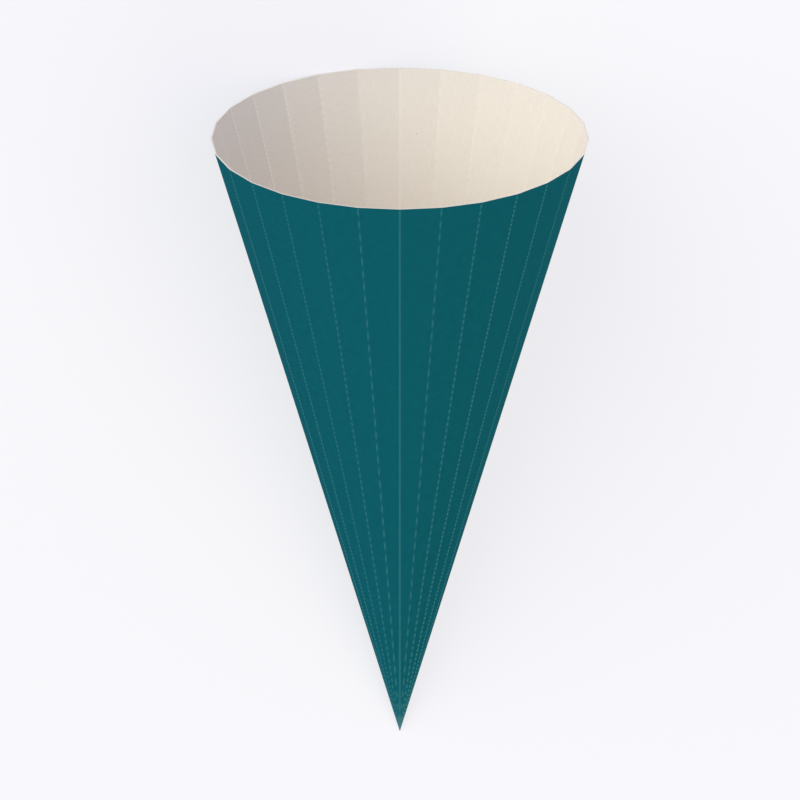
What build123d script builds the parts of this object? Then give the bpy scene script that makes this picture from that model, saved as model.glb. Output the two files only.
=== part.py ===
from build123d import *
import os
from math import atan2, cos, degrees, hypot, pi, radians, sin, tan

# Paper snack cone: one card blank, scored into a fan of flat panels, folded round to a point
# and closed by a glue flap that laps over the outside of the first panels.
# It lies on that lap, its heaviest side, as it comes to rest on a table: +Z is up,
# +Y runs from the tip to the mouth, and the origin is the middle of its footprint.

# Driving dimensions, in millimetres and degrees
mouth_diameter = 80.0  # outside, across opposite corners of the rim
cone_height = 135.0  # along the axis, from the tip to the plane of the rim
card_thickness = 0.3  # one layer of the card
panel_count = 28  # flat panels between the score lines
lap_width = 15.0  # glue flap, along the rim from its score line to its free edge
lap_tip_gap = 30.0  # the flap starts this far up its score line from the tip
lap_end_angle = 45.0  # slant of the cut across the flap's lower end
joggle_width = 1.2  # strip beside the score line where the card climbs onto the lap

# Shape of one panel
half_panel_angle = pi / panel_count
mouth_radius = mouth_diameter / 2
panel_width = mouth_diameter * sin(half_panel_angle)
panel_middle_radius = mouth_radius * cos(half_panel_angle)
panel_slant = hypot(cone_height, panel_middle_radius)
panel_lean = atan2(panel_middle_radius, cone_height)

# Sliding the whole outline this far along the axis moves every panel by one card thickness.
layer_slide = card_thickness / sin(panel_lean)

# The cone as it lies: the lap's outer face is on the table, and the wall is one layer above it.
lying_length = panel_slant + card_thickness * tan(panel_lean)
axis_direction = Vector(0, cos(panel_lean), sin(panel_lean))
tip = Vector(0, -lying_length / 2, card_thickness)
mouth_plane = Plane(origin=tip + axis_direction * cone_height, x_dir=(1, 0, 0), z_dir=axis_direction)


def rim_corner(step, radius=mouth_radius):
    """Corner of the rim in mouth_plane; step 0 and -1 are the two ends of the panel on the table."""
    angle = (2 * step + 1) * half_panel_angle
    return Vector(radius * sin(angle), radius * cos(angle))


def layer_radius(layer):
    """Radius of a card layer's outer corners in mouth_plane: 0 is the wall, 1 the lap, -1 the hollow."""
    return mouth_radius * (1 + layer * layer_slide / cone_height)


def outline(layer, mode=Mode.ADD):
    """Pointed solid inside the outer face of a card layer, from mouth_plane to that layer's own tip."""
    with BuildSketch(mouth_plane, mode=Mode.PRIVATE) as rim:
        Polygon(*[rim_corner(step, layer_radius(layer)) for step in range(panel_count)], align=None)
    layer_tip = tip - axis_direction * layer * layer_slide
    loft([rim.sketch.face(), Vertex(*layer_tip)], ruled=True, mode=mode)


# Score line where the flap leaves the first panel, from the tip to the rim
score_top = mouth_plane.from_local_coords(rim_corner(0))
score_direction = (score_top - tip).normalized()
first_panel_rim = mouth_plane.from_local_coords(rim_corner(1)) - score_top
first_panel_across = (first_panel_rim - score_direction * first_panel_rim.dot(score_direction)).normalized()

# Free edge of the flap: lap_width round the rim from the score line, over whole panels and a part
lap_panels = int(lap_width // panel_width)
lap_last_share = lap_width / panel_width - lap_panels
lap_last_corner = rim_corner(-lap_panels)
lap_free_corner = lap_last_corner + (rim_corner(-lap_panels - 1) - lap_last_corner) * lap_last_share
cut_radius = mouth_diameter  # the flap's side cuts run out this far, well past the rim

# The card climbs from the first panel's face to the lap's folded edge within the joggle.
joggle_foot = score_top + first_panel_across * joggle_width
joggle_head = mouth_plane.from_local_coords(rim_corner(0, layer_radius(1)))
joggle_plane = Plane(
    origin=joggle_foot,
    x_dir=score_direction,
    z_dir=score_direction.cross(joggle_foot - joggle_head),
)
lap_end_plane = Plane(
    origin=tip + score_direction * lap_tip_gap,
    z_dir=(sin(radians(lap_end_angle)), cos(radians(lap_end_angle)), 0),
)

# Glue flap: a second layer over the wall, from its free edge to the joggle on the first panel
with BuildPart() as glue_lap:
    outline(1)
    outline(0, mode=Mode.SUBTRACT)
    with BuildSketch(mouth_plane):
        with BuildLine():
            Polyline(
                (0, 0),
                rim_corner(1, cut_radius),
                rim_corner(0, cut_radius),
                lap_free_corner * (cut_radius / mouth_radius),
                close=True,
            )
        make_face()
    extrude(amount=-cone_height, mode=Mode.INTERSECT)
    split(bisect_by=joggle_plane, keep=Keep.BOTTOM)
    split(bisect_by=lap_end_plane, keep=Keep.TOP)

# The whole cone: the folded wall with its sharp tip, open at the mouth, and the flap glued to it
with BuildPart() as snack_cone:
    outline(0)
    outline(-1, mode=Mode.SUBTRACT)
    add(glue_lap.part)
snack_cone.part.label = "snack_cone"

os.makedirs("parts", exist_ok=True)
export_step(snack_cone.part, "parts/snack_cone.step")

print("panel width", round(panel_width, 2), "slant", round(panel_slant, 2))
print("lean in degrees", round(degrees(panel_lean), 2))
print("card volume mm3", round(snack_cone.part.volume, 1), "solids", len(snack_cone.part.solids()))
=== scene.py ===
from math import atan2, cos, hypot, pi, radians, sin, tau

import bmesh
import bpy
from mathutils import Matrix, Vector


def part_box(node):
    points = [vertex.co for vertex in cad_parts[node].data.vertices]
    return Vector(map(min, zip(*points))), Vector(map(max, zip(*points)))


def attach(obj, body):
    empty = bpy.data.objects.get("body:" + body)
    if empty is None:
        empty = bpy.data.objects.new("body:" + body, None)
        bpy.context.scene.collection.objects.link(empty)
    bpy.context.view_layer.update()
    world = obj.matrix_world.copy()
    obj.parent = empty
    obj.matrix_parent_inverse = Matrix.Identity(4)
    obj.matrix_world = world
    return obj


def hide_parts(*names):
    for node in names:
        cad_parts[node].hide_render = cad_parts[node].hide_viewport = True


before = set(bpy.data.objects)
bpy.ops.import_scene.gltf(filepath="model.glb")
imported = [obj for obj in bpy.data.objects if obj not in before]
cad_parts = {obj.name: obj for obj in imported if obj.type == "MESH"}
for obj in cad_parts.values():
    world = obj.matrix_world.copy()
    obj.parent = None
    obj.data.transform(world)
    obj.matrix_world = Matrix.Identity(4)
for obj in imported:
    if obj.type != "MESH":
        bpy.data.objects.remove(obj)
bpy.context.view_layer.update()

# The cone: one blank of cream board, printed teal on one side, creased along straight score lines,
# folded round to a point and closed by a flap glued over the outside. The creasing rule leaves a fine
# groove in the print and a bead on the board, and the print has cracked pale along the folds.
mouth_diameter = 0.080  # outside, across opposite corners of the rim
cone_height = 0.135  # along the axis, from the tip to the plane of the rim
card = 0.0003  # one layer
panel_count = 28
lap_width = 0.015  # along the rim, from the flap's score line to its free edge
lap_tip_gap = 0.030  # the flap starts this far up its score line from the tip
lap_end_angle = radians(45)  # slant of the cut across the flap's lower end
joggle_width = 0.0012  # strip beside the score line where the card climbs onto the lap
groove_half_width = 0.00025
groove_depth = 0.00006
bead_height = 0.00002
trim_allowance = 0.002  # spare length past the rim, cut off once the grooves are made
weld_distance = card / 1000  # corners closer than this are one

half_panel = pi / panel_count
mouth_radius = mouth_diameter / 2
panel_middle_radius = mouth_radius * cos(half_panel)
panel_slant = hypot(cone_height, panel_middle_radius)
panel_lean = atan2(panel_middle_radius, cone_height)
panel_width = mouth_diameter * sin(half_panel)

# It lies on its lap, so the lowest panel is level and the wall is one card above the table.
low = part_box("snack_cone")[0]
tip = Vector((0, low.y, low.z + card))
lie_down = Matrix.Translation(tip) @ Matrix.Rotation(panel_lean - pi / 2, 4, "X")
stand_up = lie_down.inverted()
mouth_centre = lie_down @ Vector((0, 0, cone_height))
axis = (mouth_centre - tip).normalized()


def round_angle(point):
    """Angle of a point about the axis, from the middle of the panel on the table, positive towards +X."""
    upright = stand_up @ point
    return atan2(upright.x, upright.y)


def corner_angle(step):
    """Angle of a rim corner about the axis; steps 0 and -1 are the two ends of the panel on the table."""
    return (2 * step + 1) * half_panel


def rim_corner(step):
    """Rim corner at a step, as a point."""
    angle = corner_angle(step)
    return lie_down @ Vector((mouth_radius * sin(angle), mouth_radius * cos(angle), cone_height))


def with_edges(faces):
    """Faces with their edges and corners, each once and in a fixed order."""
    edges = dict.fromkeys(edge for face in faces for edge in face.edges)
    corners = dict.fromkeys(vert for face in faces for vert in face.verts)
    return [*faces, *edges, *corners]


def of_kind(items, kind):
    """The items of one kind, such as the corners among what an operator made."""
    return [item for item in items if isinstance(item, kind)]


def shift_panels(bm, verts, distance):
    """Moves every panel outwards by distance and keeps the rim in its plane: a scaling about its centre."""
    factor = 1 + distance / (cone_height * sin(panel_lean))
    about_mouth = Matrix.Translation(-mouth_centre)
    bmesh.ops.scale(bm, vec=(factor, factor, factor), space=about_mouth, verts=verts)


# Outside of the wall: plain flat panels at the depth of the score lines, a little too long. Each panel is
# inset and raised to the card's surface, which leaves a groove along every fold, and the rim is cut.
# "fold" is 1 at the bottom of a groove and 0 at its edges. The tip stays as sharp as the card's surface.
bm = bmesh.new()
fold = bm.verts.layers.float.new("fold")
raw_height = cone_height + trim_allowance
raw_middle = Matrix.Translation((0, 0, raw_height / 2))
bmesh.ops.create_cone(
    bm,
    segments=panel_count,
    radius1=0,
    radius2=mouth_radius * raw_height / cone_height,
    depth=raw_height,
    matrix=lie_down @ raw_middle @ Matrix.Rotation(half_panel, 4, "Z"),
)
bmesh.ops.remove_doubles(bm, verts=bm.verts[:], dist=weld_distance)
bmesh.ops.recalc_face_normals(bm, faces=bm.faces[:])
shift_panels(bm, bm.verts[:], -groove_depth)
for vert in bm.verts:
    vert[fold] = 1.0
panels = bm.faces[:]
bmesh.ops.inset_individual(
    bm, faces=panels, thickness=groove_half_width, depth=groove_depth, use_even_offset=True
)
for panel in panels:
    for vert in panel.verts:
        vert[fold] = 0.0
tip_vert = min(bm.verts, key=lambda vert: (vert.co - tip).length)
shift_panels(bm, [tip_vert], groove_depth)
bmesh.ops.bisect_plane(
    bm, geom=with_edges(bm.faces[:]), plane_co=mouth_centre, plane_no=axis, clear_outer=True
)

# Lines of the glue flap: its free edge, the foot of the joggle where it leaves the first panel, and the
# slanted cut across its lower end
score_top = rim_corner(0)
score_direction = (score_top - tip).normalized()
first_panel_rim = rim_corner(1) - score_top
first_panel_across = (first_panel_rim - score_direction * first_panel_rim.dot(score_direction)).normalized()
joggle_foot = score_top + first_panel_across * joggle_width
lap_panels = int(lap_width // panel_width)
lap_last_share = lap_width / panel_width - lap_panels
lap_free_corner = rim_corner(-lap_panels).lerp(rim_corner(-lap_panels - 1), lap_last_share)
lap_free_angle = round_angle(lap_free_corner)
lap_end = tip + score_direction * lap_tip_gap
lap_end_direction = Vector((sin(lap_end_angle), cos(lap_end_angle), 0))
score_angle = corner_angle(0)
next_score_angle = corner_angle(1)
lap_last_angle = corner_angle(-lap_panels - 1)
for first_angle, last_angle, cut_point, cut_direction in (
    (lap_last_angle, score_angle, lap_free_corner, axis.cross(lap_free_corner - mouth_centre)),
    (score_angle, next_score_angle, joggle_foot, first_panel_across),
    (lap_free_angle, next_score_angle, lap_end, lap_end_direction),
):
    crossed = [
        face for face in bm.faces if first_angle < round_angle(face.calc_center_median()) < last_angle
    ]
    bmesh.ops.bisect_plane(bm, geom=with_edges(crossed), plane_co=cut_point, plane_no=cut_direction)

# Material slots of the other faces; every face starts in slot 0, the printed outside.
INSIDE, CUT_EDGE = 1, 2

# Inside of the wall: the same surface one card further in, facing the hollow, with a low bead on each fold
outside_faces = bm.faces[:]
copied = bmesh.ops.duplicate(bm, geom=with_edges(outside_faces))["geom"]
inside_faces = of_kind(copied, bmesh.types.BMFace)
inside_verts = of_kind(copied, bmesh.types.BMVert)
shift_panels(bm, inside_verts, -card)
shift_panels(bm, [vert for vert in inside_verts if vert[fold]], groove_depth - bead_height)
bmesh.ops.reverse_faces(bm, faces=inside_faces)
for face in inside_faces:
    face.material_index = INSIDE

# The flap: a second card over the outside, which comes down to the first panel at the joggle's foot
lap_faces = []
for face in outside_faces:
    middle = face.calc_center_median()
    above_end = (middle - lap_end).dot(lap_end_direction) > 0
    before_foot = (middle - joggle_foot).dot(first_panel_across) < 0
    if lap_free_angle < round_angle(middle) < next_score_angle and above_end and before_foot:
        lap_faces.append(face)
before_lap = set(bm.faces)
lap = bmesh.ops.extrude_face_region(bm, geom=lap_faces)["geom"]
lap_tops = set(of_kind(lap, bmesh.types.BMFace))
for face in bm.faces:
    if face not in before_lap and face not in lap_tops:
        face.material_index = CUT_EDGE
raised_verts = [
    vert
    for vert in of_kind(lap, bmesh.types.BMVert)
    if (joggle_foot - vert.co).dot(first_panel_across) > weld_distance
]
shift_panels(bm, raised_verts, card)
bmesh.ops.delete(bm, geom=lap_faces, context="FACES")
bmesh.ops.remove_doubles(bm, verts=bm.verts[:], dist=weld_distance)

# The cut edge of the rim joins the two sides of the card.
rim_edges = [edge for edge in bm.edges if edge.is_boundary]
for face in bmesh.ops.bridge_loops(bm, edges=rim_edges)["faces"]:
    face.material_index = CUT_EDGE

# The extrusion lists the flap's cut edges in another order each run, so the faces are put in order of place.
for index, face in enumerate(sorted(bm.faces, key=lambda face: face.calc_center_median()[:])):
    face.index = index
bm.faces.sort()

# The map "blank" lays the card out flat, in metres, as it was before it was folded. "dashes" says how many
# dashes a metre the mark along a fold is broken into: none on the front fold, the one that faces the
# camera, and more towards the sides, above zero at -X and below zero at +X.
front_angle = corner_angle(panel_count // 2 + 1)
crack_drift = 0.00021  # a crack follows the grain, and starts again where it is this far off its fold
most_dashes = mouth_radius / panel_slant / crack_drift
flat_share = atan2(panel_width / 2, panel_slant) / half_panel  # flat angle for an angle about the axis
dashes = bm.faces.layers.float.new("dashes")
blank = bm.loops.layers.uv.new("blank")
for face in bm.faces:
    face_angle = round_angle(face.calc_center_median())
    nearest_fold = corner_angle(round((face_angle / half_panel - 1) / 2))
    face[dashes] = sin(nearest_fold - front_angle) * most_dashes
    from_score = (face_angle - score_angle) % tau
    for loop in face.loops:
        swing = (round_angle(loop.vert.co) - face_angle + pi) % tau - pi
        flat_angle = (from_score + swing) * flat_share
        slant = (loop.vert.co - tip).length
        loop[blank].uv = (slant * sin(flat_angle), slant * cos(flat_angle))


def linear(hex_colour):
    """Linear colour of an sRGB hex value."""
    channels = [int(hex_colour[start:start + 2], 16) / 255 for start in (0, 2, 4)]
    return [c / 12.92 if c <= 0.04045 else ((c + 0.055) / 1.055) ** 2.4 for c in channels] + [1.0]


def bare_material(name):
    """A new material with nothing in its node tree."""
    material = bpy.data.materials.new(name)
    material.use_nodes = True
    material.node_tree.nodes.clear()
    return material


def add_node(tree, kind, inputs=None, **settings):
    """Adds a node: inputs gives each socket a value or another node's output, settings its own values."""
    node = tree.nodes.new(kind)
    for name, value in settings.items():
        setattr(node, name, value)
    for socket, value in (inputs or {}).items():
        if isinstance(value, bpy.types.NodeSocket):
            tree.links.new(value, node.inputs[socket])
        else:
            node.inputs[socket].default_value = value
    return node


# Sockets of a colour mix: its factor, its two colours and its result
FACTOR, COLOUR_A, COLOUR_B, MIXED = 0, 6, 7, 2

# Matt offset ink on the board's outer side: a flat deep teal, a little uneven where the fibres took less
# ink. It has cracked along the folds in fine paler dashes, more towards the sides and most at +X, and is
# rubbed paler at the tip. The board's fibres are drawn several times wider than real ones, to show.
ink_teal = linear("0c565f")
ink_thin = linear("0e5c65")
ink_cracked = linear("3e8083")
ink_rubbed = linear("4c7f84")
ink_mottle_size = 0.0016
ink_mottle_detail = 4.0
thin_from = 0.12  # level of the noise where the ink starts to thin
thin_to = 0.40  # and where it is thinnest
fibre_width = 0.00018
fibre_length = 0.0022
fibre_height = 0.000012
fibre_relief = 0.6
print_fibre_detail = 2.0
print_roughness = 0.8
print_gloss = 0.006  # the ink has sunk into the board, and hardly shines
crack_edge_share = 0.05  # of the way from a groove's edge to its bottom, where a mark starts
crack_full_share = 0.35  # and where it is full
dash_edge = -0.8  # level of a wave from -1 to 1 where a dash starts
dash_full = 0.6  # and where it is full
marked_from_share = 0.25  # of the most dashes, where the marks start to grow on the most marked side
marked_to_share = 0.9  # and where they are strongest
other_from_share = 0.7  # the same for the cracks on the other side
other_to_share = 0.92
plain_crack_share = 0.40  # strength of the cracks on the rest of the folds
crack_gap_share = 0.1  # what is left of a crack between its dashes
tip_rub_from = 0.001  # distance from the tip within which the print is rubbed most
tip_rub_to = 0.0048  # and from which it is whole

print_material = bare_material("matt_teal_offset_print")
tree = print_material.node_tree
flat = add_node(tree, "ShaderNodeUVMap", uv_map="blank").outputs["UV"]
from_tip = add_node(tree, "ShaderNodeVectorMath", {0: flat}, operation="LENGTH").outputs["Value"]


def board_fibres(tree, flat, detail):
    """The board's fibres, as a noise drawn out along the blank, and the surface normal of their relief."""
    grain = add_node(
        tree, "ShaderNodeMapping", {"Vector": flat, "Scale": (1 / fibre_width, 1 / fibre_length, 1.0)}
    )
    fibre = add_node(
        tree, "ShaderNodeTexNoise", {"Vector": grain.outputs["Vector"], "Scale": 1.0, "Detail": detail}
    ).outputs["Fac"]
    relief = add_node(
        tree, "ShaderNodeBump", {"Height": fibre, "Strength": fibre_relief, "Distance": fibre_height}
    )
    return fibre, relief.outputs["Normal"]


def fold_marks(tree, from_tip, plain_share, gap_share, growths):
    """How strongly a fold is marked, from 0 to 1: in dashes along it, by the distance from the tip, with
    gap_share of that left between them. It grows from plain_share to 1 over each range of "dashes" given."""
    rate = add_node(tree, "ShaderNodeAttribute", attribute_name="dashes").outputs["Fac"]
    turns = add_node(tree, "ShaderNodeMath", {0: from_tip, 1: rate}, operation="MULTIPLY").outputs["Value"]
    phase = add_node(tree, "ShaderNodeMath", {0: turns, 1: tau}, operation="MULTIPLY").outputs["Value"]
    wave = add_node(tree, "ShaderNodeMath", {0: phase}, operation="COSINE").outputs["Value"]
    dash = add_node(
        tree,
        "ShaderNodeMapRange",
        {"Value": wave, "From Min": dash_edge, "From Max": dash_full, "To Min": gap_share},
    )
    near_fold = add_node(tree, "ShaderNodeAttribute", attribute_name="fold").outputs["Fac"]
    on_fold = add_node(
        tree,
        "ShaderNodeMapRange",
        {"Value": near_fold, "From Min": crack_edge_share, "From Max": crack_full_share},
    )
    mark = add_node(
        tree,
        "ShaderNodeMath",
        {0: on_fold.outputs["Result"], 1: dash.outputs["Result"]},
        operation="MULTIPLY",
    )
    strength = plain_share
    for first, last in growths:
        grown = add_node(
            tree,
            "ShaderNodeMapRange",
            {"Value": rate, "From Min": first, "From Max": last, "To Min": plain_share},
        )
        strength = add_node(
            tree, "ShaderNodeMath", {0: strength, 1: grown.outputs["Result"]}, operation="MAXIMUM"
        ).outputs["Value"]
    return add_node(
        tree, "ShaderNodeMath", {0: mark.outputs["Value"], 1: strength}, operation="MULTIPLY"
    ).outputs["Value"]


mottle = add_node(
    tree, "ShaderNodeTexNoise", {"Vector": flat, "Scale": 1 / ink_mottle_size, "Detail": ink_mottle_detail}
)
fibre, relief = board_fibres(tree, flat, print_fibre_detail)
uneven = add_node(tree, "ShaderNodeMath", {0: mottle.outputs["Fac"], 1: fibre}, operation="MULTIPLY")
uneven_share = add_node(
    tree,
    "ShaderNodeMapRange",
    {"Value": uneven.outputs["Value"], "From Min": thin_from, "From Max": thin_to},
)
ink = add_node(
    tree,
    "ShaderNodeMix",
    {FACTOR: uneven_share.outputs["Result"], COLOUR_A: ink_teal, COLOUR_B: ink_thin},
    data_type="RGBA",
)
cracked_side = (-most_dashes * marked_from_share, -most_dashes * marked_to_share)
other_side = (most_dashes * other_from_share, most_dashes * other_to_share)
cracks = fold_marks(tree, from_tip, plain_crack_share, crack_gap_share, (cracked_side, other_side))
cracked_ink = add_node(
    tree,
    "ShaderNodeMix",
    {FACTOR: cracks, COLOUR_A: ink.outputs[MIXED], COLOUR_B: ink_cracked},
    data_type="RGBA",
)
rubbed = add_node(
    tree, "ShaderNodeMapRange", {"Value": from_tip, "From Min": tip_rub_to, "From Max": tip_rub_from}
)
worn_ink = add_node(
    tree,
    "ShaderNodeMix",
    {FACTOR: rubbed.outputs["Result"], COLOUR_A: cracked_ink.outputs[MIXED], COLOUR_B: ink_rubbed},
    data_type="RGBA",
)
surface = add_node(
    tree,
    "ShaderNodeBsdfPrincipled",
    {
        "Base Color": worn_ink.outputs[MIXED],
        "Roughness": print_roughness,
        "Specular IOR Level": print_gloss,
        "Normal": relief,
    },
)
add_node(tree, "ShaderNodeOutputMaterial", {"Surface": surface.outputs["BSDF"]})

# Uncoated cream board on the inner side: warm off-white, with fine fibres, a few darker flecks and a bead
# where the creasing rule has pushed the folds up. The bead is paler in dashes, and that paler colour is a
# painted highlight, strongest at -X, where the inner wall lies in shade.
board_cream = linear("f2e9db")
board_shade = linear("ece2d4")
# Pale colour of the crease bead, also used as a painted highlight on the shaded -X wall
bead_and_highlight_pale = linear("fff9ee")
board_fleck = linear("cfc1ab")
pulp_from = 0.3  # level of the noise where the pulp starts to darken
pulp_to = 0.7  # and where it is darkest
fleck_size = 0.0006
fleck_detail = 1.0
fleck_from = 0.72  # level of the noise where a fleck starts
fleck_to = 0.80  # and where it is darkest
fleck_share = 0.6  # how much of its own colour it then has
board_fibre_detail = 3.0
board_roughness = 0.9
board_gloss = 0.2
plain_bead_share = 0.25  # strength of the paler beads on the rest of the folds
bead_gap_share = 0.2  # what is left of a paler bead between its dashes

board_material = bare_material("uncoated_cream_board")
tree = board_material.node_tree
flat = add_node(tree, "ShaderNodeUVMap", uv_map="blank").outputs["UV"]
from_tip = add_node(tree, "ShaderNodeVectorMath", {0: flat}, operation="LENGTH").outputs["Value"]
fibre, relief = board_fibres(tree, flat, board_fibre_detail)
shade = add_node(tree, "ShaderNodeMapRange", {"Value": fibre, "From Min": pulp_from, "From Max": pulp_to})
pulp = add_node(
    tree,
    "ShaderNodeMix",
    {FACTOR: shade.outputs["Result"], COLOUR_A: board_cream, COLOUR_B: board_shade},
    data_type="RGBA",
)
fleck = add_node(
    tree, "ShaderNodeTexNoise", {"Vector": flat, "Scale": 1 / fleck_size, "Detail": fleck_detail}
)
dark_fleck = add_node(
    tree,
    "ShaderNodeMapRange",
    {"Value": fleck.outputs["Fac"], "From Min": fleck_from, "From Max": fleck_to, "To Max": fleck_share},
)
flecked = add_node(
    tree,
    "ShaderNodeMix",
    {FACTOR: dark_fleck.outputs["Result"], COLOUR_A: pulp.outputs[MIXED], COLOUR_B: board_fleck},
    data_type="RGBA",
)
# Painted highlight: the beads' paler colour grows strongest towards -X, where the inner wall is in shade, on
# top of the real crease bead.
painted_highlight_side = (most_dashes * marked_from_share, most_dashes * marked_to_share)
beads_and_painted_highlight = fold_marks(tree, from_tip, plain_bead_share, bead_gap_share, (painted_highlight_side,))
beaded = add_node(
    tree,
    "ShaderNodeMix",
    {FACTOR: beads_and_painted_highlight, COLOUR_A: flecked.outputs[MIXED], COLOUR_B: bead_and_highlight_pale},
    data_type="RGBA",
)
surface = add_node(
    tree,
    "ShaderNodeBsdfPrincipled",
    {
        "Base Color": beaded.outputs[MIXED],
        "Roughness": board_roughness,
        "Specular IOR Level": board_gloss,
        "Normal": relief,
    },
)
add_node(tree, "ShaderNodeOutputMaterial", {"Surface": surface.outputs["BSDF"]})

# Die-cut edge of the board: the bare pulp core, cream and a little rough
core_pale = linear("f3ebde")
core_shade = linear("e8dece")
core_grain = 0.00025
core_roughness = 0.95

edge_material = bare_material("cut_board_core")
tree = edge_material.node_tree
place = add_node(tree, "ShaderNodeTexCoord").outputs["Object"]
pulp_grain = add_node(tree, "ShaderNodeTexNoise", {"Vector": place, "Scale": 1 / core_grain})
core = add_node(
    tree,
    "ShaderNodeMix",
    {FACTOR: pulp_grain.outputs["Fac"], COLOUR_A: core_pale, COLOUR_B: core_shade},
    data_type="RGBA",
)
surface = add_node(
    tree,
    "ShaderNodeBsdfPrincipled",
    {
        "Base Color": core.outputs[MIXED],
        "Roughness": core_roughness,
        "Specular IOR Level": board_gloss,
    },
)
add_node(tree, "ShaderNodeOutputMaterial", {"Surface": surface.outputs["BSDF"]})

mesh = bpy.data.meshes.new("folded_card_cone")
bm.to_mesh(mesh)
bm.free()
for material in (print_material, board_material, edge_material):
    mesh.materials.append(material)
cone = bpy.data.objects.new("folded_card_cone", mesh)
bpy.context.scene.collection.objects.link(cone)
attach(cone, "root")
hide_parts("snack_cone")

# The table: a plain pale sheet under the cone, wide enough to fill every view. The camera sees part of it
# at its own colour, whatever the light, so that the cone's shadow on it stays faint.
table_half_width = 3.0
table_gap = 0.00002  # below the lap, so that the two don't share a plane
table_pale = linear("faf9fc")
table_own_share = 0.72

table_mesh = bpy.data.meshes.new("table")
table_bm = bmesh.new()
bmesh.ops.create_grid(
    table_bm,
    x_segments=1,
    y_segments=1,
    size=table_half_width,
    matrix=Matrix.Translation((0, 0, low.z - table_gap)),
)
table_bm.to_mesh(table_mesh)
table_bm.free()


def seen_share(tree):
    """1 where the camera sees a surface, straight or in a shine or through a clear piece, and else 0."""
    path = add_node(tree, "ShaderNodeLightPath").outputs
    straight_or_shine = add_node(
        tree, "ShaderNodeMath", {0: path["Is Camera Ray"], 1: path["Is Glossy Ray"]}, operation="MAXIMUM"
    ).outputs["Value"]
    return add_node(
        tree, "ShaderNodeMath", {0: straight_or_shine, 1: path["Is Transmission Ray"]}, operation="MAXIMUM"
    ).outputs["Value"]


table_material = bare_material("pale_table")
tree = table_material.node_tree
lit = add_node(tree, "ShaderNodeBsdfDiffuse", {"Color": table_pale})
own = add_node(tree, "ShaderNodeEmission", {"Color": table_pale})
own_share = add_node(
    tree, "ShaderNodeMath", {0: seen_share(tree), 1: table_own_share}, operation="MULTIPLY"
)
surface = add_node(
    tree,
    "ShaderNodeMixShader",
    {0: own_share.outputs["Value"], 1: lit.outputs["BSDF"], 2: own.outputs["Emission"]},
)
add_node(tree, "ShaderNodeOutputMaterial", {"Surface": surface.outputs["Shader"]})
table_mesh.materials.append(table_material)
table = bpy.data.objects.new("table", table_mesh)
bpy.context.scene.collection.objects.link(table)

# The camera looks down on the lying cone, without perspective, from the side that shows the mouth: this far
# above the plane of the rim, and turned this far round the axis from straight above, to face the front fold.
# The tip, the rim's centre and the mouth's width have their places in a square frame, in pixels.
view_lift = radians(22)
view_turn = front_angle - pi
frame_pixels = 800
mouth_pixels = 378.9
axis_pixel_x = 399.8
tip_pixel_y = 731.8
rim_centre_pixel_y = 138.2
camera_distance = 0.6

above_axis = Vector((0, -sin(panel_lean), cos(panel_lean)))
across = Vector((1, 0, 0))
square_to_axis = above_axis * cos(view_turn) - across * sin(view_turn)
towards_camera = square_to_axis * cos(view_lift) + axis * sin(view_lift)
image_up = (axis - towards_camera * axis.dot(towards_camera)).normalized()
image_right = image_up.cross(towards_camera)
middle_share = (tip_pixel_y - frame_pixels / 2) / (tip_pixel_y - rim_centre_pixel_y)
pixel = mouth_diameter / mouth_pixels
aim = tip.lerp(mouth_centre, middle_share) + image_right * (frame_pixels / 2 - axis_pixel_x) * pixel
camera_data = bpy.data.cameras.new("camera")
camera_data.type = "ORTHO"
camera_data.ortho_scale = frame_pixels * pixel
camera = bpy.data.objects.new("camera", camera_data)
camera_axes = Matrix((image_right, image_up, towards_camera)).transposed().to_4x4()
camera.matrix_world = Matrix.Translation(aim + towards_camera * camera_distance) @ camera_axes
bpy.context.scene.collection.objects.link(camera)
bpy.context.scene.camera = camera

# Soft studio light: an even, slightly cool room, a broad lamp from the left that shines into the mouth, and
# a weaker one opposite it that evens out the printed side. Together they light the table to about 1.
room_level = 0.62
room_light = linear("dae1ff")
lamp_angle = radians(60)
lamp_height = radians(35)
key_turn = radians(60)
key_level = 0.54
key_light = linear("fdfff2")
fill_turn = radians(-150)
fill_level = 0.43
fill_light = linear("fff3c4")

world = bpy.data.worlds.new("room")
bpy.context.scene.world = world
world.use_nodes = True
tree = world.node_tree
tree.nodes.clear()
lighting = add_node(tree, "ShaderNodeBackground", {"Color": room_light, "Strength": room_level})
backdrop = add_node(tree, "ShaderNodeBackground", {"Color": table_pale})
room = add_node(
    tree,
    "ShaderNodeMixShader",
    {0: seen_share(tree), 1: lighting.outputs["Background"], 2: backdrop.outputs["Background"]},
)
add_node(tree, "ShaderNodeOutputWorld", {"Surface": room.outputs["Shader"]})

for name, turn, level, light in (
    ("key_lamp", key_turn, key_level, key_light),
    ("fill_lamp", fill_turn, fill_level, fill_light),
):
    lamp_data = bpy.data.lights.new(name, "SUN")
    lamp_data.energy = level * pi  # at level 1, a white surface that faces the lamp is lit to white
    lamp_data.color = light[:3]
    lamp_data.angle = lamp_angle
    lamp = bpy.data.objects.new(name, lamp_data)
    lamp.matrix_world = Matrix.Rotation(turn, 4, "Z") @ Matrix.Rotation(lamp_height - pi / 2, 4, "X")
    bpy.context.scene.collection.objects.link(lamp)
bpy.context.scene.view_settings.view_transform = "Standard"
bpy.context.scene.render.bake.margin_type = "EXTEND"  # keeps the cut edge cream where the colours are baked
